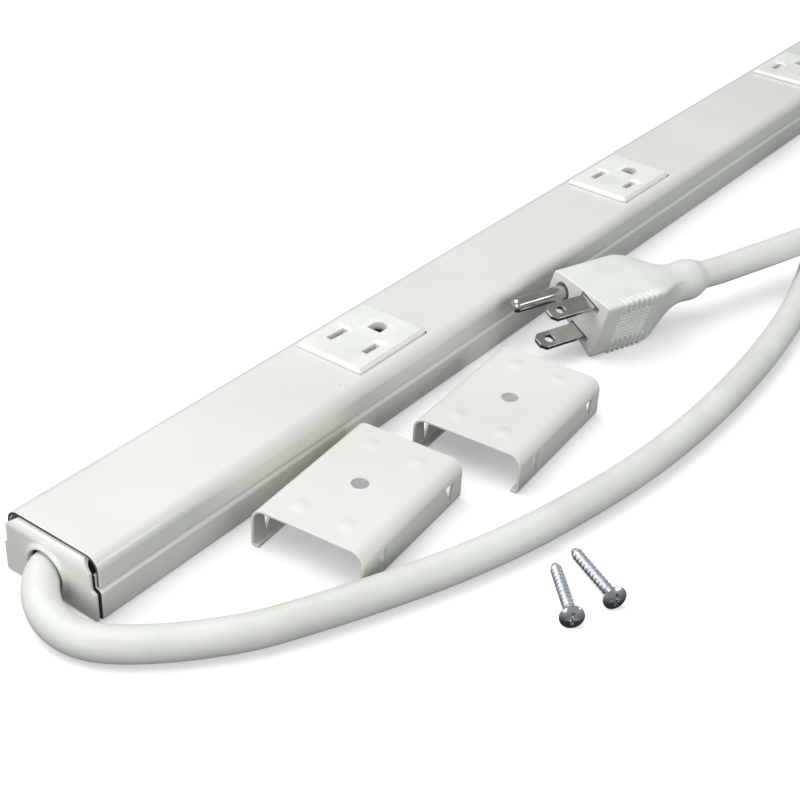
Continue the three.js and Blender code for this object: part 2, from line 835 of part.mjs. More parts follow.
Object.entries(wireAcross).forEach(([line, across]) => {
  piece(`cord_conductor_${line}`, cordConductor(across), material(insulation[line], 0.5, 0));
  piece(`splice_${line}`, splice(across), innerPlastic());
  piece(`strip_wire_${line}`, stripWire(across), material(insulation[line], 0.5, 0));
});
piece("bonding_wire", bondingWire(), material(insulation.ground, 0.5, 0));

const groundScrew = piece("ground_screw", panScrew(1.5, 2.8, sheetThickness + gap + 1.1, 0.2), zinc());
groundScrew.position.copy(fromCordEnd([groundScrewPlace.along, groundScrewPlace.across, 0]));

piece("cord_clamp", cordClamp(), zinc());
[-1, 1].forEach((side) => {
  const name = side > 0 ? "clamp_screw_left" : "clamp_screw_right";
  const screw = piece(name, panScrew(1.5, 2.9, 2 * sheetThickness + 2 * gap, 0.2), zinc());
  screw.position.copy(fromCordEnd([clampScrews.along, side * clampScrews.across, 0]));
});
piece("cord_jacket_inside", tube(jacketRoute.map(fromCordEnd), cordRadius, 20), cordSheath());

const plugRear = plugTilt.localToWorld(new THREE.Vector3(plugRearFace - gap, plugAxis, 0));
piece("cord_run", cordRun(), cordSheath());
piece("cord_coil", coilRing(), cordSheath());
piece("cord_lead", cordLead(plugRear), cordSheath());

strip.add(plugGroup);
piece("plug_body", plugBody(), whitePlastic(), plugTilt);
piece("plug_ground_pin", plugGroundPin(), nickel(), plugTilt);
piece("plug_neutral_blade", plugBlade(-1), nickel(), plugTilt);
piece("plug_hot_blade", plugBlade(1), nickel(), plugTilt);

Object.entries(clipPlaces).forEach(([name, { middle, turn }]) => {
  const clip = piece(name, mountingClip(), paint());
  clip.position.copy(fromCordEnd(middle));
  clip.rotation.z = THREE.MathUtils.degToRad(turn);
});

const screwDip = Math.asin((screwHead.radius - screwShank) / (screwTip - screwHead.rim));
const screwRest = screwHead.radius * Math.cos(screwDip) + screwHead.rim * Math.sin(screwDip);
Object.entries(screwPlaces).forEach(([name, { head: [along, across], turn }]) => {
  const place = new THREE.Group();
  place.position.copy(fromCordEnd([along, across, screwRest]));
  place.rotation.z = THREE.MathUtils.degToRad(turn);
  strip.add(place);
  piece(name, mountingScrew(), zinc(), place).rotation.y = screwDip;
});

export default strip;
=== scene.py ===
import json
import math

import bmesh
import bpy
from mathutils import Matrix, Vector


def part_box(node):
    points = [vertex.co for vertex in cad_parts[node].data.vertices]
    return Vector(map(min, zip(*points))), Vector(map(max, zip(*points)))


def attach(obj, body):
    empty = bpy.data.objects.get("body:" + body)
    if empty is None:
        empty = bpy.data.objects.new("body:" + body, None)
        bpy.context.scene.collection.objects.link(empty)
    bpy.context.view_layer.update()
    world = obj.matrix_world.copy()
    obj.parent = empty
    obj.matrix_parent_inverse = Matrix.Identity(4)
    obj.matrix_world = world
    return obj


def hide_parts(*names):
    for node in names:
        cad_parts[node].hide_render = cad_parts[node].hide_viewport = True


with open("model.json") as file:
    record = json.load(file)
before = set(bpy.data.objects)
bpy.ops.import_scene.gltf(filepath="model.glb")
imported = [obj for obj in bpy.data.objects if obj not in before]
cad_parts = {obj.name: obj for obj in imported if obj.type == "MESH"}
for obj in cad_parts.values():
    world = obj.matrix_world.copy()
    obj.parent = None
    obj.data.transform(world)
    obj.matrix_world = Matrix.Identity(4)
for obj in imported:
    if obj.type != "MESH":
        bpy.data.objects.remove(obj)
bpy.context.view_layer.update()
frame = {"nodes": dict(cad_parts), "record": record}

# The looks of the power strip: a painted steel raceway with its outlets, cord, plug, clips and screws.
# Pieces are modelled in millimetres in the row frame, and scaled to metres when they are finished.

MM = 0.001
SHEET = 1.0


def corners(node):
    """The lowest and highest corner of a CAD node, in millimetres."""
    return [Vector(corner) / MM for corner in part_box(node)]


COVER_LOW, COVER_HIGH = corners("cover")
BASE_HIGH = corners("base_channel")[1]
NEAR_END = COVER_LOW.x
FAR_END = COVER_HIGH.x


def from_cord_end(point):
    """A point given from the cord end of the cover, in millimetres, in the row frame."""
    return Vector(point) + Vector((NEAR_END, 0, 0))


# ---------------------------------------------------------------- camera


def add_camera():
    """The photograph's view of the strip: from its cord end, to the right of it and above it."""
    place = from_cord_end((-186.3, -232.9, 250.6))
    forward = Vector((0.68372, 0.48239, -0.54757)).normalized()
    right = Vector((0.60140, -0.79748, 0.04837)).normalized()
    up = right.cross(forward)
    camera = bpy.data.objects.new("camera", bpy.data.cameras.new("camera"))
    camera.data.lens = 67.9
    camera.data.sensor_width = 36
    camera.data.clip_start = 0.01
    camera.data.clip_end = 20
    camera.matrix_world = Matrix(
        (
            (right.x, up.x, -forward.x, place.x * MM),
            (right.y, up.y, -forward.y, place.y * MM),
            (right.z, up.z, -forward.z, place.z * MM),
            (0, 0, 0, 1),
        )
    )
    bpy.context.scene.collection.objects.link(camera)
    bpy.context.scene.camera = camera


add_camera()

# ---------------------------------------------------------------- materials


class Nodes:
    """A short way to write a material's node tree."""

    def __init__(self, name, **settings):
        self.material = bpy.data.materials.new(name)
        self.material.use_nodes = True
        self.tree = self.material.node_tree
        self.shader = self.tree.nodes["Principled BSDF"]
        self.place = self.add("ShaderNodeTexCoord").outputs["Object"]
        for socket, value in settings.items():
            self.shader.inputs[socket.replace("_", " ")].default_value = value

    def add(self, kind, **inputs):
        node = self.tree.nodes.new(kind)
        for socket, value in inputs.items():
            target = node.inputs[socket.replace("_", " ")]
            if isinstance(value, bpy.types.NodeSocket):
                self.tree.links.new(value, target)
            else:
                target.default_value = value
        return node

    def noise(self, scale, detail=2.0):
        """Noise whose scale is in cells per metre."""
        return self.add("ShaderNodeTexNoise", Vector=self.place, Scale=scale, Detail=detail).outputs["Fac"]

    def ramp(self, factor, *stops):
        """A colour ramp. Each stop is a position and a grey level or a colour."""
        node = self.add("ShaderNodeValToRGB", Fac=factor)
        elements = node.color_ramp.elements
        while len(elements) < len(stops):
            elements.new(0.5)
        for element, (position, value) in zip(elements, stops):
            element.position = position
            element.color = (*value, 1) if isinstance(value, tuple) else (value, value, value, 1)
        return node.outputs["Color"]

    def mix(self, factor, first, second):
        """The first colour where the factor is 0, and the second where it is 1."""
        node = self.tree.nodes.new("ShaderNodeMix")
        node.data_type = "RGBA"
        sockets = {"Factor_Float": factor, "A_Color": first, "B_Color": second}
        for identifier, value in sockets.items():
            target = next(socket for socket in node.inputs if socket.identifier == identifier)
            if isinstance(value, bpy.types.NodeSocket):
                self.tree.links.new(value, target)
            else:
                target.default_value = value
        return next(socket for socket in node.outputs if socket.identifier == "Result_Color")

    def link(self, output, socket):
        self.tree.links.new(output, self.shader.inputs[socket])

    def bump(self, *layers):
        """Bumps from layers of (height, strength, distance in metres), one on top of the other."""
        normal = None
        for height, strength, distance in layers:
            node = self.add("ShaderNodeBump", Height=height, Strength=strength, Distance=distance)
            if normal:
                self.tree.links.new(normal, node.inputs["Normal"])
            normal = node.outputs["Normal"]
        self.link(normal, "Normal")


def linear(code):
    """The linear colour of a hex code."""
    values = [int(code[i : i + 2], 16) / 255 for i in (1, 3, 5)]
    return tuple(v / 12.92 if v <= 0.04045 else ((v + 0.055) / 1.055) ** 2.4 for v in values)


def painted_steel(name, bare_and_shaded_ends=False):
    """White baked enamel on steel: a satin gloss, slight orange peel, a few faint specks. A length that is
    cut from painted stock has unpainted ends. Faces along X are painted dark grey, darker than the unpainted
    metal, as painted shade in the gaps at the ends and in the openings."""
    nodes = Nodes(name, IOR=1.5, Coat_Weight=0.8, Coat_Roughness=0.1)
    clouds = nodes.ramp(nodes.noise(22, 3), (0.2, linear("#e4e6dd")), (0.8, linear("#f0f2eb")))
    specks = nodes.ramp(nodes.noise(520, 1.0), (0.80, 0.0), (0.83, 0.6))
    color = nodes.mix(specks, clouds, (*linear("#a3a69c"), 1))
    if bare_and_shaded_ends:
        normal = nodes.add("ShaderNodeNewGeometry").outputs["True Normal"]
        along = nodes.add("ShaderNodeSeparateXYZ", Vector=normal).outputs["X"]
        end = nodes.add("ShaderNodeMath")
        end.operation = "ABSOLUTE"
        nodes.tree.links.new(along, end.inputs[0])
        # Faces along X get a dark grey: the unpainted cut metal, darkened further as painted shade in the
        # gaps.
        bare_and_shaded = nodes.ramp(end.outputs["Value"], (0.9, 0.0), (0.97, 1.0))
        color = nodes.mix(bare_and_shaded, color, (*linear("#35373a"), 1))
    nodes.link(color, "Base Color")
    nodes.link(nodes.ramp(nodes.noise(60, 3), (0.0, 0.29), (1.0, 0.42)), "Roughness")
    nodes.bump((nodes.noise(700, 1.5), 0.35, 0.00004))
    return nodes.material


def outlet_plastic():
    """Hard white moulded plastic, faintly mottled, with fine mould grain."""
    nodes = Nodes("outlet_plastic", IOR=1.49, Subsurface_Weight=0.04, Subsurface_Scale=0.002)
    mottle = nodes.ramp(nodes.noise(80, 3), (0.35, linear("#e9ebe5")), (0.65, linear("#f2f3ee")))
    nodes.link(mottle, "Base Color")
    nodes.link(nodes.ramp(nodes.noise(240, 2), (0.3, 0.34), (0.7, 0.46)), "Roughness")
    nodes.bump((nodes.noise(2600, 2), 0.12, 0.00003))
    return nodes.material


def inner_plastic():
    """The unpainted plastic of the hidden inner pieces."""
    nodes = Nodes("inner_plastic", IOR=1.49)
    mottle = nodes.ramp(nodes.noise(90, 3), (0.35, linear("#cfccc1")), (0.65, linear("#dbd8ce")))
    nodes.link(mottle, "Base Color")
    nodes.link(nodes.ramp(nodes.noise(200, 2), (0.3, 0.5), (0.7, 0.62)), "Roughness")
    nodes.bump((nodes.noise(1800, 2), 0.15, 0.00004))
    return nodes.material


def soft_vinyl(name, low, high, fine):
    """Flexible vinyl, as on the cord and the plug: satin, slightly uneven, with a fine grain."""
    nodes = Nodes(name, IOR=1.5, Subsurface_Weight=0.06, Subsurface_Scale=0.003, Sheen_Weight=0.05)
    nodes.link(nodes.ramp(nodes.noise(60, 3), (0.35, linear(low)), (0.65, linear(high))), "Base Color")
    nodes.link(nodes.ramp(nodes.noise(180, 3), (0.3, 0.38), (0.7, 0.52)), "Roughness")
    nodes.bump((nodes.noise(fine, 2), 0.18, 0.00004), (nodes.noise(140, 2), 0.2, 0.00012))
    return nodes.material


ZINC_LOW = "#c6cad2"
ZINC_HIGH = "#e6e9f0"
ZINC_ROUGHNESS = (0.36, 0.5)


def plated(name, low, high, scratch=0.1):
    """The nodes of a plated metal: its slightly uneven colour, and scratches of a given strength."""
    nodes = Nodes(name, Metallic=1.0)
    nodes.link(nodes.ramp(nodes.noise(160, 4), (0.3, linear(low)), (0.7, linear(high))), "Base Color")
    nodes.bump((nodes.noise(1500, 3), scratch, 0.00002))
    return nodes


def uneven_shine(nodes, low, high):
    """A roughness that goes up and down between two values."""
    return nodes.ramp(nodes.noise(500, 4), (0.25, low), (0.75, high))


def metal(name, low, high, roughness, scratch=0.1):
    """Plated metal with one kind of shine all over."""
    nodes = plated(name, low, high, scratch)
    nodes.link(uneven_shine(nodes, *roughness), "Roughness")
    return nodes.material


def screw_zinc(name, head, axis):
    """Zinc plating on a screw: polished on the head's face, and duller along the thread. The head is a
    point in metres, and the axis runs from it to the tip."""
    polished_to = 0.0015  # metres from the top of the head
    dull_from = 0.0025
    nodes = plated(name, ZINC_LOW, ZINC_HIGH)
    along = nodes.add("ShaderNodeVectorMath")
    along.operation = "DOT_PRODUCT"
    nodes.tree.links.new(nodes.place, along.inputs[0])
    along.inputs[1].default_value = axis
    start = axis.dot(head)
    thread = nodes.add("ShaderNodeMapRange", Value=along.outputs["Value"])
    thread.inputs["From Min"].default_value = start + polished_to
    thread.inputs["From Max"].default_value = start + dull_from
    polished = uneven_shine(nodes, 0.1, 0.17)
    dull = uneven_shine(nodes, *ZINC_ROUGHNESS)
    nodes.link(nodes.mix(thread.outputs["Result"], polished, dull), "Roughness")
    return nodes.material


def insulation(name, code):
    """A wire's coloured insulation."""
    nodes = Nodes(name, IOR=1.5)
    low = tuple(value * 0.8 for value in linear(code))
    nodes.link(nodes.ramp(nodes.noise(120, 3), (0.35, low), (0.65, linear(code))), "Base Color")
    nodes.link(nodes.ramp(nodes.noise(200, 2), (0.3, 0.35), (0.7, 0.5)), "Roughness")
    nodes.bump((nodes.noise(1200, 2), 0.15, 0.00003))
    return nodes.material


FINISH = {
    "white_paint": painted_steel("white_enamel"),
    "outlet_plastic": outlet_plastic(),
    "inner_plastic": inner_plastic(),
    "brass_contact": metal("brass", "#8a6a2c", "#b08d45", (0.29, 0.4)),
    "insulation_black": insulation("black_insulation", "#1e1e20"),
    "insulation_white": insulation("white_insulation", "#e6e6e2"),
    "insulation_green": insulation("green_insulation", "#1f7a3a"),
    "zinc": metal("zinc", ZINC_LOW, ZINC_HIGH, ZINC_ROUGHNESS),
    "cord_sheath": soft_vinyl("cord_vinyl", "#dee1d9", "#e8eae4", 1600),
    "plug_moulding": soft_vinyl("plug_vinyl", "#e0e3dd", "#eaece7", 2200),
    "nickel": metal("nickel", "#b4b3ad", "#d2d1cb", (0.12, 0.26), 0.05),
}

# The cover and the base are cut from painted stock. Their faces along X, at the ends and in the openings, are
# # painted dark grey: unpainted metal, darkened further as painted shade in the gaps.
SHADED_CUT_STOCK = painted_steel("white_enamel_shaded_ends", bare_and_shaded_ends=True)

# ---------------------------------------------------------------- shapes, in millimetres


def clamp(value):
    """The value, kept between 0 and 1."""
    return min(max(value, 0), 1)


def smooth_step(part):
    """Runs from 0 to 1 as the part does, level at both ends."""
    return part * part * (3 - 2 * part)


def ramp_up(value, low, high):
    """0 below low, 1 above high, and smooth between them."""
    return smooth_step(clamp((value - low) / (high - low)))


def arc(centre, radius, start, end, steps):
    """Points on an arc, from one angle to another, in degrees."""
    angles = [math.radians(start + (end - start) * i / steps) for i in range(steps + 1)]
    return [(centre[0] + radius * math.cos(a), centre[1] + radius * math.sin(a)) for a in angles]


def bend_path(points, radii):
    """An open path with its corners rounded, each to its own radius. A radius of 0 keeps a point as it is."""
    path = []
    for i, (point, radius) in enumerate(zip(points, radii)):
        corner = Vector(point)
        if not radius:
            path.append(corner)
            continue
        steps = max(4, round(radius * 4))
        back = (Vector(points[i - 1]) - corner).normalized()
        onward = (Vector(points[i + 1]) - corner).normalized()
        half = back.angle(onward) / 2
        centre = corner + (back + onward).normalized() * (radius / math.sin(half))
        start = corner + back * (radius / math.tan(half)) - centre
        end = corner + onward * (radius / math.tan(half)) - centre
        sweep = math.atan2(start.x * end.y - start.y * end.x, start.dot(end))
        for step in range(steps + 1):
            path.append(centre + Matrix.Rotation(sweep * step / steps, 2) @ start)
    return path


def offset_path(path, distance):
    """The path moved to its right by a distance."""
    moved = []
    for i, point in enumerate(path):
        runs = [path[j + 1] - path[j] for j in (i - 1, i) if 0 <= j < len(path) - 1]
        normals = [Vector((run.y, -run.x)).normalized() for run in runs]
        middle = sum(normals, Vector((0, 0))).normalized()
        moved.append(point + middle * (distance / middle.dot(normals[0])))
    return moved


def sheet_section(path, thickness=SHEET):
    """The outline of a bent sheet, which lies to the right of its path."""
    return path + offset_path(path, thickness)[::-1]


def shape(mesh_builder):
    """An object of the shape that is in a bmesh. It is linked to the scene, in millimetres."""
    bmesh.ops.recalc_face_normals(mesh_builder, faces=mesh_builder.faces)
    mesh = bpy.data.meshes.new("shape")
    mesh_builder.to_mesh(mesh)
    mesh_builder.free()
    made = bpy.data.objects.new("shape", mesh)
    bpy.context.scene.collection.objects.link(made)
    return made


AXES = {
    "x": lambda u, v, along: (along, u, v),
    "y": lambda u, v, along: (u, along, v),
    "z": lambda u, v, along: (u, v, along),
}


def loft(rings):
    """A closed surface through rings of points, all with the same number of points."""
    builder = bmesh.new()
    made = [[builder.verts.new(point) for point in ring] for ring in rings]
    for first, second in zip(made, made[1:]):
        for i, vertex in enumerate(first):
            following = (i + 1) % len(first)
            builder.faces.new((vertex, first[following], second[following], second[i]))
    builder.faces.new(made[0][::-1])
    builder.faces.new(made[-1])
    return shape(builder)


def prism(outline, start, end, axis):
    """An outline of (u, v) points, extruded along an axis."""
    put = AXES[axis]
    return loft([[put(u, v, along) for u, v in outline] for along in (start, end)])


def block(low, high):
    """A box from its lowest corner to its highest."""
    outline = [(low[0], low[1]), (high[0], low[1]), (high[0], high[1]), (low[0], high[1])]
    return prism(outline, low[2], high[2], "z")


def disc(radius, start, end, axis, centre=(0, 0), sides=48):
    """A round bar along an axis, about a centre given as (u, v)."""
    return prism(arc(centre, radius, 0, 360, sides)[:-1], start, end, axis)


def turned(profile, sides=48):
    """A profile of (radius, height) points revolved about Z. It starts and ends on the axis, or closes on
    itself."""
    builder = bmesh.new()
    rows = []
    for radius, height in profile:
        if radius == 0:
            rows.append([builder.verts.new((0, 0, height))] * sides)
            continue
        ring = arc((0, 0), radius, 0, 360, sides)[:-1]
        rows.append([builder.verts.new((x, y, height)) for x, y in ring])
    pairs = list(zip(rows, rows[1:]))
    if profile[0][0]:
        pairs.append((rows[-1], rows[0]))
    for first, second in pairs:
        for i in range(sides):
            j = (i + 1) % sides
            face = [first[i], first[j], second[j], second[i]]
            builder.faces.new(list(dict.fromkeys(face)))
    return shape(builder)


def settle(thing):
    """Applies a thing's modifiers, and merges the points that then coincide."""
    coincident = 1e-4
    graph = bpy.context.evaluated_depsgraph_get()
    mesh = bpy.data.meshes.new_from_object(thing.evaluated_get(graph))
    builder = bmesh.new()
    builder.from_mesh(mesh)
    bmesh.ops.remove_doubles(builder, verts=builder.verts, dist=coincident)
    bmesh.ops.dissolve_degenerate(builder, edges=builder.edges, dist=coincident)
    builder.to_mesh(mesh)
    builder.free()
    thing.modifiers.clear()
    thing.data = mesh
    return thing


def combine(operation, thing, *others):
    """Combines a thing with others, which are used up."""
    for other in others:
        modifier = thing.modifiers.new("combine", "BOOLEAN")
        modifier.operation = operation
        modifier.solver = "EXACT"
        modifier.object = other
    settle(thing)
    for other in others:
        bpy.data.objects.remove(other)
    return thing


def cut(thing, *others):
    return combine("DIFFERENCE", thing, *others)


def join(thing, *others):
    return combine("UNION", thing, *others)


def move(thing, matrix):
    thing.data.transform(matrix)
    return thing


def soften(thing, width, angle=50, segments=3):
    """Rounds the edges that turn by more than an angle in degrees."""
    modifier = thing.modifiers.new("soften", "BEVEL")
    modifier.width = width
    modifier.segments = segments
    modifier.limit_method = "ANGLE"
    modifier.angle_limit = math.radians(angle)
    modifier.use_clamp_overlap = False
    return settle(thing)


def piece(thing, name, slot, body, nodes, finish=None):
    """Finishes a thing as a piece of the object: it rides on a body and stands for CAD nodes. Its edges
    look sharp where they turn by more than the crease angle."""
    crease = 35
    thing.name = name
    thing.data.shade_smooth()
    thing.data.set_sharp_from_angle(angle=math.radians(crease))
    modifier = thing.modifiers.new("normals", "WEIGHTED_NORMAL")
    modifier.keep_sharp = True
    graph = bpy.context.evaluated_depsgraph_get()
    mesh = bpy.data.meshes.new_from_object(thing.evaluated_get(graph))
    thing.modifiers.clear()
    thing.data = mesh
    thing.data.name = name
    thing.data.transform(Matrix.Scale(MM, 4))
    thing.data.materials.clear()
    thing.data.materials.append(finish or FINISH[slot])
    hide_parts(*nodes)
    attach(thing, body)
    return thing


# ---------------------------------------------------------------- the cord

# In metres.
CORD = 0.0094
CURVE_SPACING = 0.0015

# The route from the strip's end to the coil, in metres from the cord end of the cover.
RUN_ROUTE = [
    (0.0012, 0.0015, 0.0077),
    (0.0000, 0.00145, 0.00775),
    (-0.0018, 0.0010, 0.0079),
    (-0.0049, -0.0009, 0.0078),
    (-0.0083, -0.0043, 0.0073),
    (-0.0109, -0.0086, 0.0063),
    (-0.0122, -0.0139, 0.0054),
    (-0.0119, -0.0193, 0.0049),
    (-0.0101, -0.0246, 0.0048),
    (-0.0066, -0.0300, 0.0048),
    (-0.0006, -0.0366, 0.0048),
    (0.0066, -0.0430, 0.0048),
    (0.0170, -0.0506, 0.0048),
    (0.0300, -0.0573, 0.0048),
    (0.0480, -0.0654, 0.0048),
    (0.0680, -0.0733, 0.0048),
    (0.0890, -0.0797, 0.0048),
    (0.1120, -0.0847, 0.0048),
    (0.1380, -0.0886, 0.0048),
    (0.1680, -0.0903, 0.0048),
    (0.1980, -0.0896, 0.0048),
    (0.2260, -0.0872, 0.0048),
    (0.2520, -0.0832, 0.0048),
    (0.2760, -0.0776, 0.0048),
    (0.2980, -0.0712, 0.0048),
    (0.3220, -0.0652, 0.0048),
    (0.3500, -0.0612, 0.0048),
    (0.3740, -0.0601, 0.0048),
]

# The route from the coil to the plug. It passes over the first route.
LEAD_ROUTE = [
    (0.3246, -0.1045, 0.0145),
    (0.3216, -0.0950, 0.0145),
    (0.3164, -0.0866, 0.0145),
    (0.3090, -0.0798, 0.0145),
    (0.2996, -0.0752, 0.0145),
    (0.2890, -0.0715, 0.0144),
    (0.2790, -0.0683, 0.0141),
    (0.2680, -0.0647, 0.0138),
    (0.2550, -0.0604, 0.0136),
    (0.2450, -0.0570, 0.0134),
]

# In metres from the cord end of the cover, too.
COIL = {"centre": (0.383, -0.118), "outer": 0.058, "inner": 0.0483, "lower": 0.0048, "upper": 0.0145}
COIL_STEPS = 24  # to a turn

# Two layers of nearly two turns, clockwise, in degrees from +X.
COIL_START = 90
COIL_MIDDLE = -590
COIL_END = -1264.4

# Where the coil passes from one turn to the next: the first in degrees from its start, the others from its
# middle.
MOVES_IN = (290, 360)
CLIMBS = (-50, 50)
MOVES_OUT = (250, 320)


def coil_points():
    """The coil's turns: inwards along the lower layer, up, and outwards along the upper one."""
    middle = (COIL["outer"] + COIL["inner"]) / 2
    swing = (COIL["outer"] - COIL["inner"]) / 2
    count = round((COIL_START - COIL_END) / 360 * COIL_STEPS)
    x, y = COIL["centre"]
    points = []
    for i in range(count + 1):
        angle = COIL_START + (COIL_END - COIL_START) * i / count
        inward = ramp_up(COIL_START - angle, *MOVES_IN)
        climb = ramp_up(COIL_MIDDLE - angle, *CLIMBS)
        outward = ramp_up(COIL_MIDDLE - angle, *MOVES_OUT)
        radius = middle + swing * (1 - 2 * (inward - outward))
        height = COIL["lower"] + (COIL["upper"] - COIL["lower"]) * climb
        turn = math.radians(angle)
        points.append((x + radius * math.cos(turn), y + radius * math.sin(turn), height))
    return points


def smooth_curve(points, spacing):
    """A centripetal Catmull-Rom curve through the points, as points about a spacing apart."""
    first = points[0] * 2 - points[1]
    last = points[-1] * 2 - points[-2]
    ends = [first, *points, last]
    curve = []
    for a, b, c, d in zip(ends, ends[1:], ends[2:], ends[3:]):
        ta = 0.0
        tb = ta + math.sqrt((b - a).length)
        tc = tb + math.sqrt((c - b).length)
        td = tc + math.sqrt((d - c).length)
        steps = max(2, round((c - b).length / spacing))
        for i in range(steps):
            t = tb + (tc - tb) * i / steps
            ab = a.lerp(b, (t - ta) / (tb - ta))
            bc = b.lerp(c, (t - tb) / (tc - tb))
            cd = c.lerp(d, (t - tc) / (td - tc))
            abc = ab.lerp(bc, (t - ta) / (tc - ta))
            bcd = bc.lerp(cd, (t - tb) / (td - tb))
            curve.append(abc.lerp(bcd, (t - tb) / (tc - tb)))
    curve.append(points[-1])
    return curve


# The plug, in its own frame, has its face at the origin, its prongs along +X and its blade side towards +Y.
# The cord's axis is at PLUG_AXIS in Y.
PLUG_FACE = from_cord_end((187.7, -38.5, 13.0))
PLUG_TURN = Matrix.Rotation(math.radians(160.2), 4, "Z") @ Matrix.Rotation(math.radians(-16), 4, "X")
PLUG_PLACE = Matrix.Translation(PLUG_FACE) @ PLUG_TURN
PLUG_AXIS = -2.2
PLUG_REAR = -50.4


def add_cord():
    """The whole cord, from inside the strip's end to just inside the plug's rear."""
    inside_plug = 1.0
    end = PLUG_PLACE @ Vector((PLUG_REAR + inside_plug, PLUG_AXIS, 0)) * MM
    shift = Vector((NEAR_END * MM, 0, 0))
    route = [Vector(point) + shift for point in RUN_ROUTE + coil_points() + LEAD_ROUTE]
    line = smooth_curve(route + [end], CURVE_SPACING)
    data = bpy.data.curves.new("cord", "CURVE")
    data.dimensions = "3D"
    data.bevel_depth = CORD / 2
    data.bevel_resolution = 8
    data.use_fill_caps = True
    spline = data.splines.new("POLY")
    spline.points.add(len(line) - 1)
    for point, place in zip(spline.points, line):
        point.co = (*place, 1)
    spline.use_smooth = True
    cord = bpy.data.objects.new("cord", data)
    bpy.context.scene.collection.objects.link(cord)
    data.materials.append(FINISH["cord_sheath"])
    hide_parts("cord_run", "cord_coil", "cord_lead")
    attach(cord, "strip")
    return cord


cord = add_cord()

# ---------------------------------------------------------------- the raceway

SEAM = COVER_LOW.z
TOP = COVER_HIGH.z
CEILING = TOP - SHEET
COVER_HALF = COVER_HIGH.y
BASE_HALF = BASE_HIGH.y
EDGE = 0.28  # the rounding of a cut sheet's edges
OUTLETS = [corners(f"outlet_{i}_face") for i in range(1, 7)]
OUTLET_FRONT = 12.4  # from an outlet's near edge to its blade slots
PLACES = [low.x + OUTLET_FRONT for low, high in OUTLETS]

# The cover's opening for an outlet, and the small notch at one corner of it, from the blade slots' middle.
OPENING = [(-11.2, -10.9), (18.6, -10.9), (18.6, 10.9), (-11.2, 10.9)]
NOTCH = [(18.0, -10.5), (18.0, -12.2), (20.4, -12.2), (20.4, -10.5)]


def through_cover(outline):
    """Cutters for the cover's top, one at each outlet."""
    cutters = []
    for place in PLACES:
        moved = [(place + x, y) for x, y in outline]
        cutters.append(prism(moved, CEILING - 1, TOP + 1, "z"))
    return cutters


def add_cover():
    """The cover. Its notches are cut after its edges are rounded: cut before, they leave a seam along the
    bend."""
    bend = 4.0
    path = bend_path(
        [(-COVER_HALF, SEAM), (-COVER_HALF, TOP), (COVER_HALF, TOP), (COVER_HALF, SEAM)],
        [0, bend, bend, 0],
    )
    cover = prism(sheet_section(path), NEAR_END, FAR_END, "x")
    soften(cut(cover, *through_cover(OPENING)), EDGE)
    cut(cover, *through_cover(NOTCH))
    # Its ends and opening edges are painted dark grey: unpainted metal, and painted shade in the gaps.
    return piece(cover, "raceway_cover", "white_paint", "strip", ["cover"], SHADED_CUT_STOCK)


def add_base():
    """The base: a tray whose sides have a shoulder for the cover to stand on, and a tongue inside it."""
    gap = 0.3
    tongue = COVER_HALF - SHEET - gap
    shoulder = SEAM - gap
    half = [(tongue, BASE_HIGH.z), (tongue, shoulder), (BASE_HALF, shoulder), (BASE_HALF, 0)]
    points = half + [(-y, z) for y, z in half[::-1]]
    radii = [0, 0.4, 1.45, 1.2]
    path = bend_path(points, radii + radii[::-1])
    base = prism(sheet_section(path), NEAR_END, FAR_END, "x")
    screws = [(38, -9.6), (38, 9.6), (92, 11)]
    screw_hole = 1.8
    holes = [disc(screw_hole, -1, 2, "z", from_cord_end((x, y, 0)).xy, 24) for x, y in screws]
    soften(cut(base, *holes), EDGE)
    # Its ends are painted dark grey: unpainted metal, and painted shade in the gaps.
    return piece(base, "raceway_base", "white_paint", "strip", ["base_channel"], SHADED_CUT_STOCK)


PLATE_FACE = -1.6
PLATE_BACK = PLATE_FACE + SHEET
CORD_HOLE = Vector((0.9, 7.3))
CORD_HOLE_RADIUS = 6.2


def plate_side(top, step, inset, drop, chamfer):
    """One side of an end plate, from its bottom up. It steps in above the base's shoulder, leans further in
    to its inset, and has a chamfer that starts a drop below the top."""
    bottom, shoulder, above = 0.3, 8.6, 9.4
    return [
        (COVER_HALF, bottom),
        (COVER_HALF, shoulder),
        (COVER_HALF - step, above),
        (COVER_HALF - inset, top - drop),
        (chamfer, top),
    ]


def drawn_lip():
    """The lip of the cord's hole, drawn outwards from the plate, with its low part cut level."""
    rim, height, steps = 8.1, 0.85, 14
    margin, overlap, skin, round_over = 0.3, 0.2, 0.01, 0.45
    crest = CORD_HOLE_RADIUS + round_over
    profile = [(rim + margin, PLATE_BACK - overlap), (rim + margin, PLATE_FACE + overlap)]
    for i in range(steps + 1):
        part = i / steps
        profile.append((rim + (crest - rim) * part, PLATE_FACE - skin - height * smooth_step(part)))
    profile += arc((crest, PLATE_FACE - skin - height + round_over), round_over, -90, -180, 6)[1:]
    profile += [(CORD_HOLE_RADIUS, PLATE_BACK - overlap)]
    turn = Matrix.Translation((0, *CORD_HOLE)) @ Matrix.Rotation(math.radians(90), 4, "Y")
    return cut(move(turned(profile, 64), turn), block((-9, -12, -3), (9, 12, 0.4)))


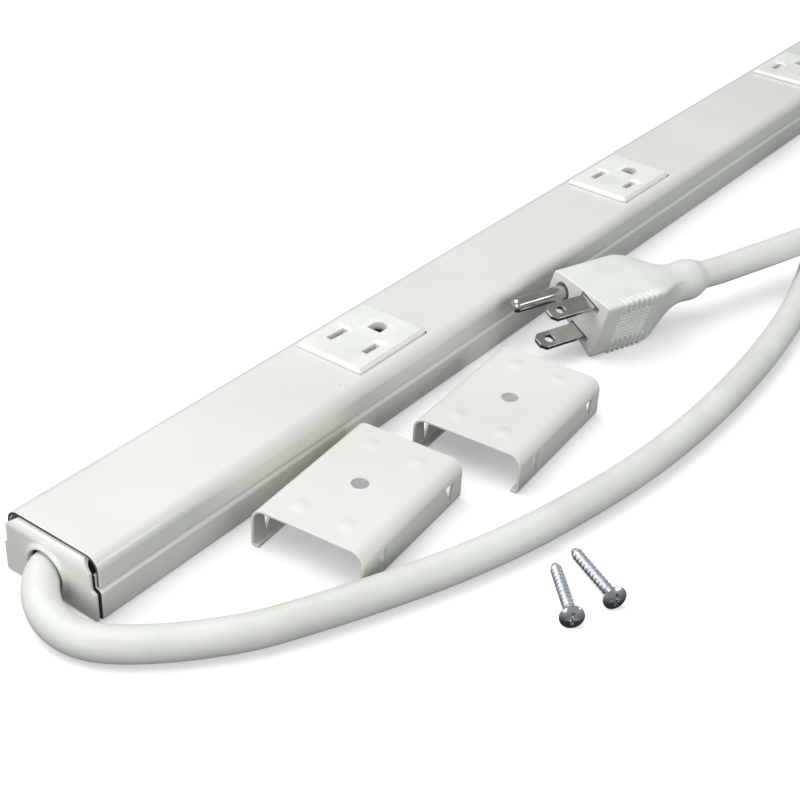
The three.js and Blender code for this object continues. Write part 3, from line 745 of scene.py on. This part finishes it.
def end_plate(holed):
    """An end plate: a folded sheet with chamfered corners. The one for the cord has a hole with a lip."""
    top = CEILING - 0.3
    flange = 9  # how far the top is folded back
    left = plate_side(top, step=0.9, inset=0.9, drop=2.4, chamfer=12)
    right = plate_side(top, step=1.5, inset=1.7, drop=3, chamfer=11)
    outline = left + [(-y, z) for y, z in right[::-1]]
    path = bend_path([(PLATE_FACE, -1), (PLATE_FACE, top), (flange, top)], [0, 3, 0])
    plate = prism(sheet_section(path), -COVER_HALF - 1, COVER_HALF + 1, "y")
    plate = combine("INTERSECT", plate, prism(outline, PLATE_FACE - 1, flange, "x"))
    soften(plate, 0.2)
    tab, tab_height, tab_half = 12, 1.3, 11
    tab_path = bend_path([(tab, tab_height), (PLATE_FACE, tab_height), (PLATE_FACE, 4)], [0, 1.6, 0])
    join(plate, prism(sheet_section(tab_path), -tab_half, tab_half, "y"))
    if holed:
        cut_out = 7.2  # wider than the hole, because the lip fills the rest
        lip = drawn_lip()
        cut(plate, disc(cut_out, PLATE_FACE - 2, PLATE_BACK + 1, "x", CORD_HOLE, 60))
        join(plate, lip)
    return plate


def add_end_plates():
    near = move(end_plate(holed=True), Matrix.Translation((NEAR_END, 0, 0)))
    piece(near, "end_plate_near", "white_paint", "strip", ["end_plate_cord"])
    turn = Matrix.Translation((FAR_END, 0, 0)) @ Matrix.Rotation(math.pi, 4, "Z")
    far = move(end_plate(holed=False), turn)
    piece(far, "end_plate_far", "white_paint", "strip", ["end_plate_blind"])


add_cover()
add_base()
add_end_plates()

# ---------------------------------------------------------------- the outlets

BLADE_SPACING = 12.7
GROUND = 11.9  # from the blades' line to the ground hole


def rounded_box(x0, y0, x1, y1, radius, z):
    """A rectangle with round corners, at a height."""
    middle_x, middle_y = (x0 + x1) / 2, (y0 + y1) / 2
    outline = []
    for x, y, start in ((x1, y1, 0), (x0, y1, 90), (x0, y0, 180), (x1, y0, 270)):
        centre = (x - math.copysign(radius, x - middle_x), y - math.copysign(radius, y - middle_y))
        outline += arc(centre, radius, start, start + 90, 4)
    return [(x, y, z) for x, y in outline]


def outlet_frame(low, high):
    """The visible frame of an outlet's face, with a bevel all round."""
    bottom, top = TOP + 0.15, high.z
    x0, x1, half = -OUTLET_FRONT, high.x - low.x - OUTLET_FRONT, high.y
    bevel = 0.95
    corner = 0.7
    edge = bend_path([(0, bottom), (0, top - bevel), (bevel, top), (3, top)], [0, 0.3, 0.5, 0])
    frame_plate = loft([rounded_box(x0 + e, -half + e, x1 - e, half - e, corner, z) for e, z in edge[:-1]])
    neck = block((-10.9, -10.6, low.z), (18.3, 10.6, bottom + 0.3))
    snaps = []
    for side in (-1, 1):
        inner, outer = sorted((side * 10.4, side * 11.5))
        snaps.append(block((-3, inner, CEILING - 2.2), (10, outer, CEILING - 0.3)))
    return join(frame_plate, neck, *snaps)


def outlet_recess(top, floor):
    """The shallow T-shaped recess in an outlet's face. It starts with a slope, and its sides slope too."""
    start, floor_start = -9, 4.2
    slope, side_slope, skin, above = 0.9, 0.8, 0.02, 1
    arms = []
    for end, across in ((4.3, 9.2), (15.4, 4.7)):
        sections = []
        for y, level in (
            (-across - side_slope, top - skin),
            (-across + side_slope, floor),
            (across - side_slope, floor),
            (across + side_slope, top - skin),
        ):
            outline = [
                (start, top),
                (floor_start, level),
                (end, level),
                (end + slope, top),
                (end + slope, top + above),
                (start, top + above),
            ]
            sections.append([(x, y, z) for x, z in outline])
        arms.append(loft(sections))
    return join(*arms)


def outlet_shape():
    """One outlet's face, with its blade slots at the origin."""
    low, high = OUTLETS[0]
    top = high.z
    recess_depth, wall = 0.8, 2.4
    floor = top - recess_depth
    underside = floor - wall
    face = outlet_frame(low, high)
    chamber = block((-9.7, -9.4, low.z - 1), (17.1, 9.4, underside))
    cut(face, chamber, outlet_recess(top, floor))
    holes = []
    slot_half = 1.1
    for side, reach in ((1, 4.1), (-1, 3.4)):
        y = side * BLADE_SPACING / 2
        holes.append(block((-reach, y - slot_half, underside - 1), (reach, y + slot_half, top + 1)))
    radius, flat = 2.5, GROUND - 2.5
    ground = [(flat, -radius), *arc((GROUND + 0.4, 0), radius, -90, 90, 24), (flat, radius)]
    holes.append(prism(ground, underside - 1, top + 1, "z"))
    cut(face, *holes)
    return face


def add_outlets():
    first = outlet_shape()
    for i, place in enumerate(PLACES, start=1):
        face = bpy.data.objects.new("outlet", first.data.copy())
        bpy.context.scene.collection.objects.link(face)
        move(face, Matrix.Translation((place, 0, 0)))
        piece(face, f"receptacle_{i}", "outlet_plastic", "strip", [f"outlet_{i}_face"])
    bpy.data.objects.remove(first)


add_outlets()

# ---------------------------------------------------------------- the plug


def plug_section(blades, ground, sides, roundness, circle, steps):
    """A wedge with round corners, wide at the blades, which turns into a circle towards the cord. The
    greater the sharpness, the tighter its corners."""
    slant = math.radians(103.9)
    faces = [(0, blades), (math.pi, ground), (slant, sides), (-slant, sides)]
    sharpness = 14
    ring = []
    for i in range(steps):
        angle = 2 * math.pi * i / steps
        total = sum((max(math.cos(angle - normal), 0) / far) ** sharpness for normal, far in faces)
        reach = total ** (-1 / sharpness) * (1 - roundness) + circle * roundness
        ring.append((PLUG_AXIS + reach * math.cos(angle), reach * math.sin(angle)))
    return ring


# Along X, then the distances to the blade side, the ground side and the slanted sides, the roundness, and the
# radius of the circle.
PLUG_STATIONS = [
    (0.0, 10.9, 16.2, 8.3, 0, 8),
    (-24, 10.9, 16.2, 8.3, 0, 8),
    (-29, 9.2, 16.0, 7.9, 0.2, 8),
    (-33, 7.8, 14.6, 7.4, 0.45, 7.4),
    (-36.5, 7, 11, 6.8, 0.8, 6.8),
    (-40, 6.6, 8, 6.6, 1, 6.6),
    (-45.5, 7, 8, 7, 1, 7.1),
    (-48.6, 6.5, 7, 6.5, 1, 6.4),
    (PLUG_REAR, 5, 5, 5, 1, 5.2),
]


def between(stations, x):
    """The values at a place, in proportion between the stations on each side of it."""
    x = min(max(x, stations[-1][0]), stations[0][0])
    for first, second in zip(stations, stations[1:]):
        if x >= second[0]:
            part = (first[0] - x) / (first[0] - second[0])
            return [a + (b - a) * part for a, b in zip(first[1:], second[1:])]


def blended(stations, x):
    """The values at a place, averaged over its surroundings, so that the stations leave no creases."""
    reach, count = 1.6, 5
    samples = [between(stations, x + reach * (2 * i / (count - 1) - 1)) for i in range(count)]
    return [sum(values) / count for values in zip(*samples)]


def plateau(value, low, low_end, high_end, high):
    """1 from low_end to high_end, and 0 outside low and high."""
    return ramp_up(value, low, low_end) * ramp_up(value, high, high_end)


def wave(value, start, pitch):
    """Runs smoothly between 1, at the start and each pitch after it, and 0 halfway between."""
    return 0.5 + 0.5 * math.cos(2 * math.pi * (value - start) / pitch)


def grip_relief(x, y, z):
    """How far the plug's skin stands out at a point: a ribbed panel on its blade side, and a row of bumps
    over each edge of that side."""
    panel_area = plateau(-x, 6.2, 6.8, 18.8, 19.4) * ramp_up(y, 7.4, 8.2) * plateau(z, -5.2, -4.8, 6.6, 7.0)
    grooves = wave(z, 0.15, 1.5) ** 3
    panel = 0.1 - 0.8 * grooves
    upper_edge = ramp_up(z, 6.8, 7.3)
    lower_edge = ramp_up(-z, 5.0, 5.5)
    bump_area = plateau(-x, 6.0, 6.6, 21.2, 21.8) * ramp_up(y, 4.6, 6.2) * max(upper_edge, lower_edge)
    bumps = 1.1 * wave(x, -7.4, 2.1) ** 0.8 - 0.45
    return panel_area * panel + bump_area * bumps


def plug_skin():
    """The plug's body: sections from its face, whose edge is rounded, to its rear."""
    steps = 400
    spacing = 0.3
    face_edge = 0.6
    places = []
    for degrees in (0, 22, 45, 67):
        angle = math.radians(degrees)
        places.append((-face_edge * (1 - math.cos(angle)), face_edge * (1 - math.sin(angle))))
    x = -face_edge
    while x > PLUG_REAR:
        places.append((x, 0.0))
        x -= spacing
    places.append((PLUG_REAR, 0.0))
    rings = []
    for x, inset in places:
        blades, ground, sides, roundness, circle = blended(PLUG_STATIONS, x)
        ring = plug_section(blades - inset, ground - inset, sides - inset, roundness, circle, steps)
        points = []
        for y, z in ring:
            out = Vector((y - PLUG_AXIS, z)).normalized() * grip_relief(x, y, z)
            points.append((x, y + out.x, z + out.y))
        rings.append(points)
    return loft(rings)


PRONG_ROOT = -2.9  # inside the plug's body
POCKET = -3.2


def add_plug():
    """The plug's body, with a pocket around the foot of each prong."""
    body = plug_skin()
    pin_pocket = disc(3.3, POCKET, 2, "x", (-GROUND - 0.2, 0), 48)
    blade_pockets = []
    for side in (-1, 1):
        z = side * BLADE_SPACING / 2
        blade_pockets.append(block((POCKET, -4.3, z - 1.1), (2, 4.8, z + 1.1)))
    cut(body, pin_pocket, *blade_pockets)
    return piece(move(body, PLUG_PLACE), "plug_moulding", "plug_moulding", "strip", ["plug_body"])


def add_ground_pin():
    """The round ground pin, with a domed tip."""
    length, radius, tip, dome = 20.6, 2.4, 2.3, 1.9
    profile = [(0, PRONG_ROOT), (radius, PRONG_ROOT), (radius, length - tip)]
    profile += arc((radius - dome, length - tip), dome, 0, 80, 8)[1:]
    profile += [(0, length)]
    pin = turned(profile, 48)
    move(pin, Matrix.Rotation(math.radians(90), 4, "Y"))
    move(pin, PLUG_PLACE @ Matrix.Translation((0, -GROUND, 0)))
    return piece(pin, "ground_pin", "nickel", "strip", ["plug_ground_pin"])


def add_blade(name, side, node):
    """A flat blade, with cut corners and a hole near its tip."""
    half, length, thick = 3.2, 16.4, 1.5
    tip, corner = 1.6, 1.8
    hole, hole_place = 1.6, 11.9
    z = side * BLADE_SPACING / 2
    outline = [(PRONG_ROOT, -half), (length - tip, -half), (length, -half + corner)]
    outline += [(x, -y) for x, y in outline[::-1]]
    blade = prism(outline, z - thick / 2, z + thick / 2, "z")
    cut(blade, disc(hole, z - 2, z + 2, "z", (hole_place, 0), 32))
    soften(blade, 0.2, 30)
    return piece(move(blade, PLUG_PLACE), name, "nickel", "strip", [node])


plug = [
    add_plug(),
    add_ground_pin(),
    add_blade("neutral_blade", -1, "plug_neutral_blade"),
    add_blade("hot_blade", 1, "plug_hot_blade"),
]

# ---------------------------------------------------------------- clips and screws

# How each loose piece is turned on the floor, in degrees, and where a screw's head is.
CLIP_TURNS = {"clip_near": 5.3, "clip_far": 4.7}
SCREW_TURNS = {"screw_near": 42.6, "screw_far": 58.2}
SCREW_HEADS = {"screw_near": (71.4, -107.1), "screw_far": (84.9, -111.9)}

CLIP_HALF = 17.4
CLIP_HEIGHT = 12.5
CLIP_LENGTH = 50
CLIP_SHEET = 0.8
WINDOW = [(0, 8.3), (4.4, 8.3), (3.6, 1.9)]
WINDOW_PLACES = (-18, 15.8)


def dimple_rise(x, y):
    """How far the clip's web is pressed up at a point."""
    height, radius = 0.4, 3.6
    nearest = math.hypot(abs(x) - 17, abs(y) - 7.3) / radius
    return height * math.cos(nearest * math.pi / 2) ** 2 if nearest < 1 else 0.0


def clip_section():
    """A clip's outline across its length, with enough points along its web for the dimples."""
    half, height, lip = CLIP_HALF, CLIP_HEIGHT, 2.5
    spacing = 0.7
    path = bend_path(
        [(-half + lip, 0), (-half, 0), (-half, height), (half, height), (half, 0), (half - lip, 0)],
        [0, 1.2, 3.9, 3.9, 1.2, 0],
    )
    fine = []
    for first, second in zip(path, path[1:]):
        in_web = first.y > height - 0.1
        steps = max(1, round((second - first).length / spacing)) if in_web else 1
        fine += [first.lerp(second, i / steps) for i in range(steps)]
    fine.append(path[-1])
    return sheet_section(fine, CLIP_SHEET)


def clip_window(side, place):
    """The cutter of a pointed window in one flange."""
    outline = [(-side * (place + x), z) for x, z in WINDOW]
    inner, outer = sorted((side * (CLIP_HALF - 2), side * (CLIP_HALF + 1)))
    return prism(outline, inner, outer, "y")


def clip_pip(side, place):
    """The small domed pip beside a window, on the inside of the flange."""
    radius, rise, foot = 1.0, 0.35, -0.3
    profile = [(0, rise)]
    for i in range(1, 7):
        angle = math.pi / 2 * i / 6
        profile.append((radius * math.sin(angle), rise * math.cos(angle)))
    profile += [(radius, foot), (0, foot)]
    pip = turned(profile, 20)
    move(pip, Matrix.Rotation(math.radians(side * 90), 4, "X"))
    middle = (-side * (place - 1.6), side * (CLIP_HALF - CLIP_SHEET), 5.2)
    return move(pip, Matrix.Translation(middle))


def clip_shape():
    """One clip about its own middle, with its open side down."""
    section = clip_section()
    web = CLIP_HEIGHT - 1.1
    count = 71
    rings = []
    for i in range(count + 1):
        x = -CLIP_LENGTH / 2 + CLIP_LENGTH * i / count
        ring = []
        for y, z in section:
            rise = dimple_rise(x, y) if z > web else 0.0
            ring.append((x, y, z + rise))
        rings.append(ring)
    clip = soften(loft(rings), 0.2, 60)
    hole = disc(2.5, CLIP_HEIGHT - 2, CLIP_HEIGHT + 2, "z")
    windows = [(side, place) for side in (-1, 1) for place in WINDOW_PLACES]
    cut(clip, hole, *[clip_window(side, place) for side, place in windows])
    return join(clip, *[clip_pip(side, place) for side, place in windows])


def add_clips():
    for node, turn in CLIP_TURNS.items():
        low, high = corners(node)
        middle = (low + high) / 2
        clip = clip_shape()
        move(clip, Matrix.Rotation(math.radians(turn), 4, "Z"))
        move(clip, Matrix.Translation((middle.x, middle.y, 0)))
        piece(clip, f"{node}_sheet", "white_paint", node, [node])


SCREW_LENGTH = 23.6
HEAD_RADIUS = 3.3
THREAD_RADIUS = 1.58
THREAD_CORE = 1.2
THREAD_START = 4.6
THREAD_END = 23.0


def thread_radius(x, turn):
    """The radius of the screw's shaft at a point along it, and at a part of a turn round it."""
    pitch = 1.6
    fade = clamp((x - THREAD_START) / 1.0) * clamp((THREAD_END - x) / 0.8)
    taper = 1 - 0.3 * clamp((x - THREAD_END + 0.2) / 1.2)
    crest = (1 - wave(x / pitch - turn, 0, 1)) ** 1.3
    plain = THREAD_RADIUS - 0.15 if x < THREAD_START + 1 else THREAD_CORE
    return (THREAD_CORE + (THREAD_RADIUS - THREAD_CORE) * crest) * fade + plain * taper * (1 - fade)


def screw_shaft():
    """The shaft, from inside the head to the tip."""
    sides = 32
    spacing = 0.13
    start = 2.1
    count = round((SCREW_LENGTH - 2.2) / spacing)
    rings = []
    for i in range(count + 1):
        x = start + (SCREW_LENGTH - start) * i / count
        ring = []
        for j in range(sides):
            angle = 2 * math.pi * j / sides
            radius = thread_radius(x, j / sides)
            ring.append((x, radius * math.cos(angle), radius * math.sin(angle)))
        rings.append(ring)
    return loft(rings)


def cross_recess():
    """The cutter of the cross in the head: two arms, and a socket that narrows downwards."""
    half_length, half_width, depth = 1.85, 0.42, 1.0
    arms = [
        block((-1, -half_length, -half_width), (depth, half_length, half_width)),
        block((-1, -half_width, -half_length), (depth, half_width, half_length)),
    ]
    socket = turned([(0, 1.9), (0.35, 1.7), (1.25, -0.5), (0, -0.5)], 32)
    move(socket, Matrix.Rotation(math.pi / 2, 4, "Y"))
    return join(*arms, socket)


def screw_shape():
    """One screw along +X, with its head at the origin: an oval cross-slotted head and a helical thread."""
    profile = [(0, 0.38)] + arc((0, 6.98), 6.6, -85, -60, 10)
    profile += [(HEAD_RADIUS, 1.35), (HEAD_RADIUS, 1.65), (3.15, 1.85), (1.75, 3.0), (1.45, 3.3), (0, 3.3)]
    head = turned(profile, 56)
    move(head, Matrix.Rotation(math.radians(90), 4, "Y"))
    return cut(join(head, screw_shaft()), cross_recess())


def add_screws():
    """The loose screws. Each lies on the rim of its head and on the end of its thread."""
    rim, tip, shank = 1.7, 22.4, 1.5
    drop = math.asin((HEAD_RADIUS - shank) / (tip - rim))
    rest = HEAD_RADIUS * math.cos(drop) + rim * math.sin(drop)
    for node, turn in SCREW_TURNS.items():
        screw = screw_shape()
        place = from_cord_end((*SCREW_HEADS[node], rest))
        matrix = (
            Matrix.Translation(place)
            @ Matrix.Rotation(math.radians(turn), 4, "Z")
            @ Matrix.Rotation(drop, 4, "Y")
        )
        axis = (matrix.to_3x3() @ Vector((1, 0, 0))).normalized()
        finish = screw_zinc(f"{node}_zinc", place * MM, axis)
        piece(move(screw, matrix), f"{node}_metal", "zinc", node, [node], finish)


add_clips()
add_screws()

# ---------------------------------------------------------------- the hidden CAD pieces


def finish_cad_nodes():
    """Each CAD node that still shows keeps its shape and gets the material of its slot."""
    slots = {entry["node"]: entry["material_slot"] for entry in frame["record"]["subparts"]}
    for name, node in frame["nodes"].items():
        if node.hide_render:
            continue
        node.data.materials.clear()
        node.data.materials.append(FINISH[slots[name]])


finish_cad_nodes()

# ---------------------------------------------------------------- the studio


def add_floor():
    """A white floor, which glows a little so that the shadows on it stay pale. It throws no light back on
    the object, whose lower sides stay dark."""
    bpy.ops.mesh.primitive_plane_add(size=8, location=(0, 0, 0))
    floor = bpy.context.object
    floor.name = "floor"
    nodes = Nodes("floor", Roughness=0.9, Emission_Strength=0.28)
    nodes.shader.inputs["Base Color"].default_value = (0.97, 0.97, 0.97, 1)
    floor.data.materials.append(nodes.material)
    floor.visible_diffuse = False
    floor.visible_glossy = False


def add_area(name, place, target, size, power):
    """A soft lamp that faces a target. Its size is in metres and its power in watts."""
    light = bpy.data.lights.new(name, "AREA")
    light.shape = "RECTANGLE"
    light.size, light.size_y = size
    light.energy = power
    lamp = bpy.data.objects.new(name, light)
    lamp.location = place
    lamp.rotation_euler = (Vector(target) - Vector(place)).to_track_quat("-Z", "Y").to_euler()
    bpy.context.scene.collection.objects.link(lamp)


def add_sky():
    """Soft light from above, which fades to almost none from below."""
    world = bpy.data.worlds.new("studio")
    world.use_nodes = True
    tree = world.node_tree
    direction = tree.nodes.new("ShaderNodeTexCoord").outputs["Generated"]
    height = tree.nodes.new("ShaderNodeSeparateXYZ")
    tree.links.new(direction, height.inputs["Vector"])
    part = tree.nodes.new("ShaderNodeMapRange")  # 0 straight down, 1 straight up
    part.inputs["From Min"].default_value = -1
    tree.links.new(height.outputs["Z"], part.inputs["Value"])
    ramp = tree.nodes.new("ShaderNodeValToRGB")
    below, horizon = ramp.color_ramp.elements
    below.position = 0.12
    below.color = (0.04, 0.043, 0.043, 1)
    horizon.position = 0.5
    horizon.color = (0.33, 0.345, 0.345, 1)
    tree.links.new(part.outputs["Result"], ramp.inputs["Fac"])
    tree.links.new(ramp.outputs["Color"], tree.nodes["Background"].inputs["Color"])
    bpy.context.scene.world = world


def add_studio():
    """The floor, the sky and three lamps, around the middle of what the photograph shows."""
    add_floor()
    add_sky()
    middle = Vector((NEAR_END * MM + 0.25, -0.03, 0))
    add_area("key", middle + Vector((-0.35, 0.6, 1.2)), middle, (1.5, 1.5), 17)
    add_area("left", middle + Vector((-1.2, -0.15, 0.35)), middle, (0.8, 0.6), 3.6)
    add_area("front", middle + Vector((0.15, -1.3, 0.45)), middle, (1.0, 0.5), 5.0)
    bpy.context.scene.view_settings.view_transform = "Standard"


add_studio()
